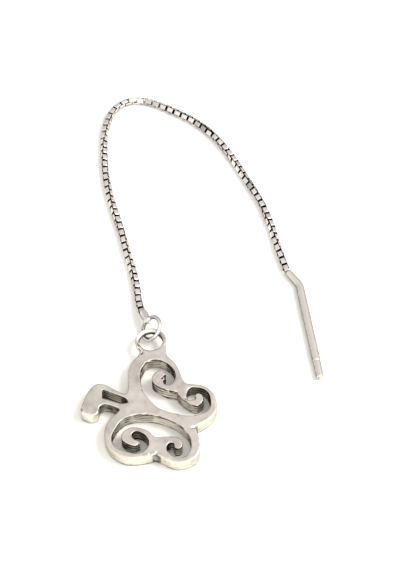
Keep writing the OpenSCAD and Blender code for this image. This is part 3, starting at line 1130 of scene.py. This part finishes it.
@dataclass
class Frames:
    """Where the links are: their middles, the directions along the chain and those across their strips."""

    middle: Array
    along: Array
    across: Array

    @classmethod
    def of_chain(cls, source: bpy.types.Object, start: Array) -> Frames:
        """Reads the places of the loose links from the frame's chain, in order.

        Args:
            source: The chain's solid in the frame.
            start: A place near the first link, in millimetres.

        Returns:
            The links' places, with one more at each end for the soldered links.
        """
        points, triangles = solid_points(source)
        label = islands(len(points), triangles)
        links = [points[label == name] for name in np.unique(label)]
        left = {index: link.mean(0) for index, link in enumerate(links)}
        order, here = [], start
        while left:
            nearest = min(left, key=lambda index: np.linalg.norm(left[index] - here))
            here = left.pop(nearest)
            order.append(nearest)
        middle = np.array([links[index].mean(0) for index in order])
        across = np.array([cls._strip_axis(links[index]) for index in order])
        middle = np.concatenate([[2 * middle[0] - middle[1]], middle, [2 * middle[-1] - middle[-2]]])
        across = np.concatenate([[across[1]], across, [across[-2]]])
        along = unit(np.gradient(middle, axis=0))
        across = unit(across - (across * along).sum(1, keepdims=True) * along)
        return cls(middle, along, across)

    @staticmethod
    def _strip_axis(link: Array) -> Array:
        """Direction in which a link is narrowest, which is the width of its strip."""
        centred = link - link.mean(0)
        return np.linalg.eigh(centred.T @ centred)[1][:, 0]

    def placed(self, link: Shape, index: int, roll: float = 0.0, rng: np.random.Generator | None = None,
               tilt: float = 0.0) -> Shape:
        """A link in its place.

        Args:
            link: The link round its own middle.
            index: Which place.
            roll: Degrees by which the link is rolled round the chain.
            rng: Source of the small tilts of a loose link.
            tilt: Size of the tilts.

        Returns:
            The link's shape in the frame.
        """
        along, across = self.along[index], self.across[index]
        cosine, sine = math.cos(math.radians(roll)), math.sin(math.radians(roll))
        across = across * cosine + np.cross(along, across) * sine
        if rng is not None:
            along = unit(along + tilt * rng.standard_normal(3))
            across = unit(across + tilt * rng.standard_normal(3))
            across = unit(across - (across @ along) * along)
        basis = np.stack([along, np.cross(across, along), across])
        return Shape(link.points @ basis + self.middle[index], link.faces, masks=dict(link.masks))


@dataclass
class BoxChain(Piece):
    """The loose links between the two soldered ends."""

    link: Link = field(default_factory=Link)
    seed: int = 11
    tilt: float = 0.022
    cloud_links: float = 9.0
    cloud_shade: float = 0.12
    link_shade: float = 0.05
    link_shade_limit: float = 2.0
    behind_facing: Pair = (0.1, 0.4)
    # Darker stretches of links: tarnish, and painted shade that dims bright glints in some
    dull_stretches: Stretches = (
        (55, 61, 0.14), (61, 66, 0.22), (68, 73, 0.26), (73, 84, 0.1), (84, 86, 0.3), (86, 88, 0.5),
        (106, 109, 0.35), (20, 26, 0.05))
    # Stretches whose gaps get only this share of the tarnish and painted shade
    paler_gap_stretches: Stretches = ((52, 60, 0.6), (60, 74, 0.3))
    # Painted shade on the links' sides that face away, towards +y
    shaded_far_sides: Stretches = ((74, 80, 0.25), (80, 87, 0.4), (98, 108, 0.3))
    bright_links: tuple[int, ...] = (67, 68, 88, 95)
    rolls: Stretches = ((58, 67, -14), (67, 69, 12), (86, 88, 10), (88, 89, 22))

    def build(self, frames: Frames, groups: NodeGroups) -> None:
        """Makes the chain as one mesh of separate links.

        Args:
            frames: Where the links are.
            groups: The shared node groups.
        """
        rng = np.random.default_rng(self.seed)
        link = self.link.shape()
        count, each = len(frames.middle) - 2, len(link.points)
        clouds = Noise(self.cloud_links, self.seed, swing=self.cloud_shade)
        shade = np.clip(clouds.at(np.arange(count)[:, None] * np.array([1.0, 0.0, 0.0])), 0, 1)
        shade += np.clip(rng.standard_normal(count), 0, self.link_shade_limit) * self.link_shade
        gaps, sides, rolls = np.ones(count), np.zeros(count), np.zeros(count)
        for values, stretches in (
                (shade, self.dull_stretches), (sides, self.shaded_far_sides), (rolls, self.rolls)):
            for first, last, share in stretches:
                values[first:last] += share
        for first, last, share in self.paler_gap_stretches:
            gaps[first:last] = share
        for index in self.bright_links:
            shade[index] = sides[index] = 0
        chain = joined([
            frames.placed(link, index + 1, rolls[index], rng, self.tilt) for index in range(count)])
        behind = smoothstep(*self.behind_facing, chain.normals()[:, 1])
        chain.masks = {
            Mask.RECESS: np.tile(link.masks[Mask.RECESS], count) * np.repeat(gaps, each),
            Mask.WEAR: np.tile(link.worn(), count),
            Mask.STAIN_AND_SHADE: np.repeat(shade, each) + np.repeat(sides, each) * behind}
        self.show(chain, "box_chain", groups)


@dataclass
class EndRing(Piece):
    """The ring in the eyelet, with the soldered end of the chain and the solder between them."""

    # The ring
    centre: Triple = (-5.45, -8.83, 1.28)
    axis_turn: float = -167.0
    axis_rise: float = 46.0
    ring_d: float = 2.46
    wire: float = 0.43
    steps: int = 96
    around: int = 24
    # The soldered block. The profile's rows are distance from its start and share of its width.
    block_start: Triple = (-5.90, -7.72, 1.185)
    block_end: Triple = (-6.39, -6.52, 0.95)
    block_width: float = 0.74
    block_roll: float = 14.0
    block_around: int = 32
    block_power: float = 0.35
    block_profile: tuple[Pair, ...] = ((0.0, 0.72), (0.06, 0.9), (0.2, 1.0))
    block_edge: Pair = (0.08, 0.9)
    # The solder
    solder: float = 0.44
    solder_steps: int = 13
    solder_around: int = 20
    solder_passes: int = 10
    solder_reach: Pair = (0.3, 0.8)
    # The skin round them all
    voxel: float = 0.028
    rounding_passes: int = 3
    bumps: Noise = Noise(0.45, 21, 1, -0.006, 0.008)
    fine_bumps: Noise = Noise(0.16, 22, 1, 0, 0.003)
    # Its tarnish, and painted shade: outlines where the skin faces away, and on the wire's inner side
    ring_outline_shade: float = 0.7
    body_facing: Pair = (0.08, 0.62)
    wire_facing: Pair = (0.2, 0.9)
    wire_ends: Pair = (0.35, 0.6)
    wire_edge: Pair = (0.6, 1.0)
    inner_facing: Pair = (0.1, 0.45)
    inner_tone: Noise = Noise(0.4, 23, 1, 0.85, 0.3)
    link_tarnish: float = 0.8
    link_span: Pair = (-0.1, 0.3)

    def build(self, frames: Frames, link: Link, groups: NodeGroups) -> None:
        """Makes the ring, the soldered block and the first link as one skin.

        Args:
            frames: Where the links are.
            link: Sizes of a link.
            groups: The shared node groups.
        """
        parts = [self._ring(), self._block(), self._solder(), frames.placed(link.shape(), 0)]
        skin = joined(parts).remeshed(self.voxel)
        skin.points = skin.relaxed(skin.points, self.rounding_passes)
        near_solder = fade(*self.solder_reach, np.linalg.norm(skin.points - self.block_start, axis=1))
        skin.points = skin.relaxed(skin.points, self.solder_passes, near_solder)
        bumps = self.bumps.at(skin.points) + self.fine_bumps.at(skin.points)
        skin.points = skin.points + skin.normals() * bumps[:, None]
        wire, normals = self._on_wire(skin.points), skin.normals()
        # Painted shade: dark outlines where the block, the solder and the wire face away
        low = np.maximum(facing_away_shade(normals, *self.body_facing), wire * facing_away_shade(normals, *self.wire_facing))
        along_chain = (skin.points - frames.middle[0]) @ frames.along[0]
        skin.masks = {
            Mask.RECESS: smoothstep(*self.link_span, along_chain) * self.link_tarnish,
            Mask.WEAR: skin.worn(),
            Mask.STAIN_AND_SHADE: np.maximum(self._inner_side_shade(skin.points, normals) * wire, self.ring_outline_shade * low)}
        self.show(skin, "soldered_ring", groups)

    def _on_wire(self, points: Array) -> Array:
        """Which points are on the bare wire of the ring.

        Args:
            points: Points in the frame.

        Returns:
            1 on the wire and 0 on the solder and the block, for each point.
        """
        away = np.linalg.norm(points - self.centre, axis=1)
        low, high = (self.ring_d / 2 + self.wire * share for share in self.wire_edge)
        return fade(low, high, away) * smoothstep(
            *self.wire_ends, np.linalg.norm(points - self.block_start, axis=1))

    def _inner_side_shade(self, points: Array, normals: Array) -> Array:
        """Painted shade on the side of the wire that faces the ring's middle.

        Args:
            points: Points in the frame.
            normals: Outward direction at each.

        Returns:
            Strength of the painted shade at each point.
        """
        axis, offsets = self._axis(), points - self.centre
        radial = unit(offsets - (offsets @ axis)[:, None] * axis)
        inward = smoothstep(*self.inner_facing, -(normals * radial).sum(1))
        return inward * self.inner_tone.at(points)

    def _axis(self) -> Array:
        """Axis of the ring."""
        rise = math.radians(self.axis_rise)
        return turned(self.axis_turn) * math.cos(rise) + UP * math.sin(rise)

    def _ring(self) -> Shape:
        """The round wire.

        Returns:
            Its shape.
        """
        axis = self._axis()
        side = unit(np.cross(axis, UP))
        lift = np.cross(axis, side)
        angle = np.linspace(0, TAU, self.steps, endpoint=False)
        turn = np.linspace(TAU, 0, self.around, endpoint=False)
        out = np.cos(angle)[:, None] * side + np.sin(angle)[:, None] * lift
        radius = self.ring_d / 2 + self.wire / 2 * np.cos(turn)
        rings = (np.array(self.centre) + out[:, None, :] * radius[None, :, None]
                 + axis * (self.wire / 2 * np.sin(turn))[None, :, None])
        return swept(rings, closed=True)

    def _block(self) -> Shape:
        """The soldered end of the chain, a plain square bar with rounded edges.

        Returns:
            Its shape.
        """
        start, end = np.array(self.block_start), np.array(self.block_end)
        length, along = np.linalg.norm(end - start), unit(end - start)
        level = unit(np.cross(UP, along))
        roll = math.radians(self.block_roll)
        side = level * math.cos(roll) + np.cross(along, level) * math.sin(roll)
        lift = np.cross(along, side)
        turn = np.linspace(0, TAU, self.block_around, endpoint=False)
        square = np.stack([np.cos(turn), np.sin(turn)], 1)
        square = np.sign(square) * np.abs(square) ** self.block_power
        edge, narrow = self.block_edge
        profile = [*self.block_profile, (length - edge, 1.0), (length, narrow)]
        section = square[:, :1] * side + square[:, 1:] * lift
        rings = [start + along * place + section * (self.block_width / 2 * share)
                 for place, share in profile]
        return swept(np.array(rings))

    def _solder(self) -> Shape:
        """Solder that has flowed round the wire where the block meets it.

        Returns:
            Its shape, a ball.
        """
        middle = np.array(self.block_start)
        rise = np.linspace(-TAU / 4, TAU / 4, self.solder_steps)[1:-1]
        turn = np.linspace(0, TAU, self.solder_around, endpoint=False)
        ring = np.stack([np.cos(turn), np.sin(turn), np.zeros_like(turn)], 1)
        rings = [middle + self.solder * (ring * math.cos(angle) + UP * math.sin(angle)) for angle in rise]
        return swept(np.array(rings))


@dataclass
class Post(Piece):
    """The bent wire that goes through the ear, with its tapered start, score mark and slimmer tip."""

    # The way of the wire
    bend: Triple = (10.37, -2.89, 0.43)
    turn: float = -82.0
    bend_angle: float = 26.0
    bend_radius: float = 1.8
    lead: float = 1.7
    straight: float = 9.6
    tip: float = 2.1
    # Its diameters. The start's rows are distance from it and share of the lead's diameter.
    wire: float = 0.86
    lead_wire: float = 0.74
    tip_wire: float = 0.81
    end_wire: float = 0.78
    start_profile: tuple[Pair, ...] = ((0.0, 0.62), (0.06, 0.9), (0.16, 1.0))
    score_depth: float = 0.05
    score_width: float = 0.16
    score_edge: float = 0.02
    tip_round: float = 0.1
    round_steps: int = 7
    # How finely it is made: the step along it, the reach and number of the closer steps, and the decimals of
    # a place, by which none comes twice
    step: float = 0.07
    decimals: int = 4
    start_steps: tuple[float, int] = (0.2, 8)
    score_steps: tuple[float, int] = (0.04, 10)
    tip_steps: int = 9
    around: int = 56
    end_steps: tuple[float, ...] = (0.8, 0.6, 0.4, 0.2)
    # Flats that the pliers left, as rows of turn and depth, and waves
    flat_depth: float = 0.05
    flat_power: int = 6
    flats: tuple[Pair, ...] = ((0, 1.0), (180, 1.0), (70, 0.7), (130, 1.3))
    grip_place: float = -1.0
    grip_reach: float = 1.1
    waves: Noise = Noise(0.9, 31, 1, -0.008, 0.008)
    # Painted shade on its low sides, seen as dark outlines, and a speck on its end
    low_side_shade: float = 0.85
    under_facing: Pair = (0.3, 0.72)
    face_span: Pair = (-0.08, -0.03)
    speck: float = 0.11
    speck_place: float = -0.16

    def build(self, frames: Frames, link: Link, groups: NodeGroups) -> None:
        """Makes the post with its soldered link.

        Args:
            frames: Where the links are.
            link: Sizes of a link.
            groups: The shared node groups.
        """
        wire = self._wire()
        # Painted shade on the sides that face away, which draws dark outlines along the wire
        low = self.low_side_shade * facing_away_shade(wire.normals(), *self.under_facing)
        last = frames.placed(link.shape(), len(frames.middle) - 1)
        both = joined([wire, last])
        end = self._centre_line(np.array([self.straight + self.tip]))[0][0]
        face = smoothstep(*self.face_span, (both.points - end) @ turned(self.turn))
        spot = end + turned(self.turn + 90) * self.speck_place
        both.masks = {
            Mask.RECESS: np.concatenate([low, last.masks[Mask.RECESS]]) * (1 - face),
            Mask.WEAR: face,
            Mask.STAIN_AND_SHADE: fade(0.5 * self.speck, self.speck, np.linalg.norm(both.points - spot, axis=1))}
        self.show(both, "wire_post", groups)

    @property
    def _arc(self) -> float:
        """Length of the bend."""
        return self.bend_radius * math.radians(self.bend_angle)

    def _centre_line(self, s: Array) -> tuple[Array, Array]:
        """Middle of the wire and its direction, at distances from the bend's far end.

        Args:
            s: Distances along the wire, negative towards the chain.

        Returns:
            The places and the directions.
        """
        along, right = turned(self.turn), turned(self.turn - 90)
        angle = np.clip(-s, 0, self._arc) / self.bend_radius
        pivot = np.array(self.bend) + right * self.bend_radius
        out = -np.cos(angle)[:, None] * right - np.sin(angle)[:, None] * along
        direction = np.cos(angle)[:, None] * along - np.sin(angle)[:, None] * right
        beyond = np.where(s > 0, s, np.minimum(s + self._arc, 0))
        return pivot + out * self.bend_radius + direction * beyond[:, None], direction

    def _radius(self, s: Array, start: float, end: float) -> Array:
        """Radius of the wire, without the pliers' flats.

        Args:
            s: Distances along the wire.
            start: Distance of its start.
            end: Distance of its end.

        Returns:
            One radius for each distance.
        """
        stations = [(start + place, share * self.lead_wire) for place, share in self.start_profile]
        stations += [
            (start + self.lead, self.wire), (self.straight - self.score_edge, self.wire),
            (self.straight + self.score_width * 0.5, self.wire - 2 * self.score_depth),
            (self.straight + self.score_width, self.tip_wire), (end - self.tip_round, self.end_wire)]
        stations += [
            (end - self.tip_round * (1 - math.sin(angle)),
             self.end_wire - 2 * self.tip_round * (1 - math.cos(angle)))
            for angle in np.linspace(0, TAU / 4, self.round_steps)[1:]]
        places, widths = np.array(stations).T
        return np.interp(s, places, widths) / 2

    def _wire(self) -> Shape:
        """The wire with flats where pliers held it.

        Returns:
            Its shape.
        """
        start, end = -self.lead - self._arc, self.straight + self.tip
        reach, count = self.start_steps
        margin, score_count = self.score_steps
        s = np.unique(np.round(np.concatenate([
            np.arange(start, end, self.step), start + np.linspace(0, reach, count),
            self.straight + np.linspace(-margin, self.score_width + margin, score_count),
            end - self.tip_round * (1 - np.sin(np.linspace(0, TAU / 4, self.tip_steps)))]), self.decimals))
        places, direction = self._centre_line(s)
        side = np.cross(UP, direction)
        turn = np.linspace(0, TAU, self.around, endpoint=False)
        gripped = np.exp(-((s - self.grip_place) / self.grip_reach) ** 2)
        facet = sum(depth * np.maximum(np.cos(turn - math.radians(angle)), 0) ** self.flat_power
                    for angle, depth in self.flats)
        radius = self._radius(s, start, end)[:, None] - self.flat_depth * gripped[:, None] * facet[None, :]
        rings = (places[:, None, :] + side[:, None, :] * (radius * np.cos(turn))[..., None]
                 + UP * (radius * np.sin(turn))[..., None])
        face = [places[-1] + (rings[-1] - places[-1]) * share for share in self.end_steps]
        wire = swept(np.concatenate([rings, face]))
        wire.points += wire.normals() * self.waves.at(wire.points)[:, None]
        return wire


@dataclass
class Studio:
    """Plain pale floor, soft light from the right and the camera at the photograph's angle."""

    # The camera, in millimetres and degrees
    look_at: Triple = (-0.35, -2.17, 0.0)
    elevation: float = 52.66
    distance: float = 171.3
    lens: float = 100.55
    sensor: float = 36.0
    # The floor
    floor_size: float = 1200.0
    floor_drop: float = 0.02
    floor_tone: Triple = (0.88, 0.895, 0.83)
    floor_roughness: float = 0.9
    floor_specular: float = 0.1
    # The sky: the direction in which it brightens, the span of that, and rows of place in it and brightness
    sky_tint: Triple = (1.0, 0.945, 0.97)
    sky_lean: Triple = (0.0, -0.75, 0.6)
    sky_span: Pair = (-0.75, 1.0)
    sky_levels: tuple[Pair, ...] = ((0.0, 0.6), (0.33, 0.83), (0.5, 0.85), (0.75, 1.2), (1.0, 1.55))
    backdrop: Triple = (0.98, 0.98, 0.97)
    # The key light
    key_place: Triple = (250.0, 8.0, 310.0)
    key_size: float = 190.0
    key_power: float = 1.25
    key_tint: Triple = (1.0, 0.98, 0.95)

    def build(self) -> None:
        """Makes the camera, the floor, the sky and the key light."""
        self._camera()
        self._floor()
        self._sky()
        self._key()
        bpy.context.scene.view_settings.view_transform = "Standard"

    def _camera(self) -> None:
        """Camera that sees the earring as the photograph does."""
        data = bpy.data.cameras.new("camera")
        data.sensor_width = self.sensor
        data.lens = self.lens
        data.clip_start = MILLIMETRE
        camera = add_object("camera", data)
        angle = math.radians(self.elevation)
        back = Vector((0.0, -math.cos(angle), math.sin(angle)))
        camera.location = (Vector(self.look_at) + back * self.distance) * MILLIMETRE
        camera.rotation_euler = back.to_track_quat("Z", "Y").to_euler()
        bpy.context.scene.camera = camera

    def _floor(self) -> None:
        """Pale matt floor just under the earring."""
        corners = np.array([[-1, -1, 0], [1, -1, 0], [1, 1, 0], [-1, 1, 0]]) * self.floor_size / 2
        sheet = Shape(corners - UP * self.floor_drop, np.array([[0, 1, 2, 3]]))
        floor = add_object("floor", sheet.mesh("floor"))
        material = bpy.data.materials.new("pale_card")
        material.use_nodes = True
        tree = material.node_tree
        feed(tree, tree.nodes["Principled BSDF"], {
            "Base Color": (*self.floor_tone, 1), "Roughness": self.floor_roughness,
            "Specular IOR Level": self.floor_specular})
        floor.data.materials.append(material)

    def _sky(self) -> None:
        """Soft light from all round, brightest over the viewer's head and dimmer low down behind.

        The camera itself sees a plain pale backdrop.
        """
        world = bpy.data.worlds.new("soft_light")
        world.use_nodes = True
        tree = world.node_tree
        given, lean, span, ramp, pale, seen, mix = (tree.nodes.new("ShaderNode" + kind) for kind in (
            "TexCoord", "VectorMath", "MapRange", "ValToRGB", "Background", "LightPath", "MixShader"))
        lean.operation = "DOT_PRODUCT"
        feed(tree, lean, {0: given.outputs["Generated"], 1: self.sky_lean})
        feed(tree, span, {"From Min": self.sky_span[0], "From Max": self.sky_span[1],
                          "Value": lean.outputs["Value"]})
        feed(tree, ramp, {"Fac": span.outputs["Result"]})
        while len(ramp.color_ramp.elements) < len(self.sky_levels):
            ramp.color_ramp.elements.new(1.0)
        for index, (place, level) in enumerate(self.sky_levels):
            element = ramp.color_ramp.elements[index]
            element.position = place
            element.color = (*(level * tint for tint in self.sky_tint), 1)
        soft = tree.nodes["Background"]
        feed(tree, soft, {"Color": ramp.outputs["Color"]})
        feed(tree, pale, {"Color": (*self.backdrop, 1)})
        feed(tree, mix, {"Fac": seen.outputs["Is Camera Ray"], 1: soft.outputs[0], 2: pale.outputs[0]})
        feed(tree, tree.nodes["World Output"], {"Surface": mix.outputs[0]})
        bpy.context.scene.world = world

    def _key(self) -> None:
        """Large soft light from the right, which lays the shadows to the left."""
        data = bpy.data.lights.new("key", "AREA")
        data.shape = "DISK"
        data.size = self.key_size * MILLIMETRE
        data.energy = self.key_power
        data.color = self.key_tint
        key = add_object("key", data)
        key.location = Vector(self.key_place) * MILLIMETRE
        key.rotation_euler = Vector(self.key_place).to_track_quat("Z", "Y").to_euler()


def main() -> None:
    """Builds the scene round the frame, piece by piece."""
    logging.basicConfig(level=logging.INFO, format="%(name)s: %(message)s")
    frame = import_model()
    nodes = frame["nodes"]
    Studio().build()
    groups = NodeGroups()

    cast = SilverFinish("cast_silver", Grain.CAST, tone=(0.88, 0.84, 0.755), grazing=(0.5, 0.47, 0.43),
                        tarnish=(0.045, 0.036, 0.024), tarnish_amount=1.3, clouds=0.18, roughness=0.36,
                        waves=0.012, fine=0.004)
    wire = SilverFinish("ring_silver", Grain.POLISHED, tone=(0.86, 0.84, 0.8), roughness=0.16)
    # The chain's near-black tarnish, given a high amount, stands for tarnish and painted shade in the gaps
    # between the links
    strip = SilverFinish("chain_silver", Grain.POLISHED, tone=(0.92, 0.885, 0.83), roughness=0.28,
                         tarnish=(0.015, 0.012, 0.009), tarnish_amount=2.6)
    drawn = SilverFinish("post_silver", Grain.DRAWN, tone=(0.77, 0.74, 0.68), roughness=0.33, clouds=0.05,
                         waves=0.003, line_turn=-82)

    link = Link()
    ring = EndRing("end_ring", "ring_silver", wire)
    frames = Frames.of_chain(nodes["chain"], np.array(ring.block_end))
    Drop("pendant", "cast_silver", cast).build(nodes["pendant"], groups)
    ring.build(frames, link, groups)
    BoxChain("chain", "chain_silver", strip, link).build(frames, groups)
    Post("post", "post_silver", drawn).build(frames, link, groups)


if __name__ == "__main__":
    main()
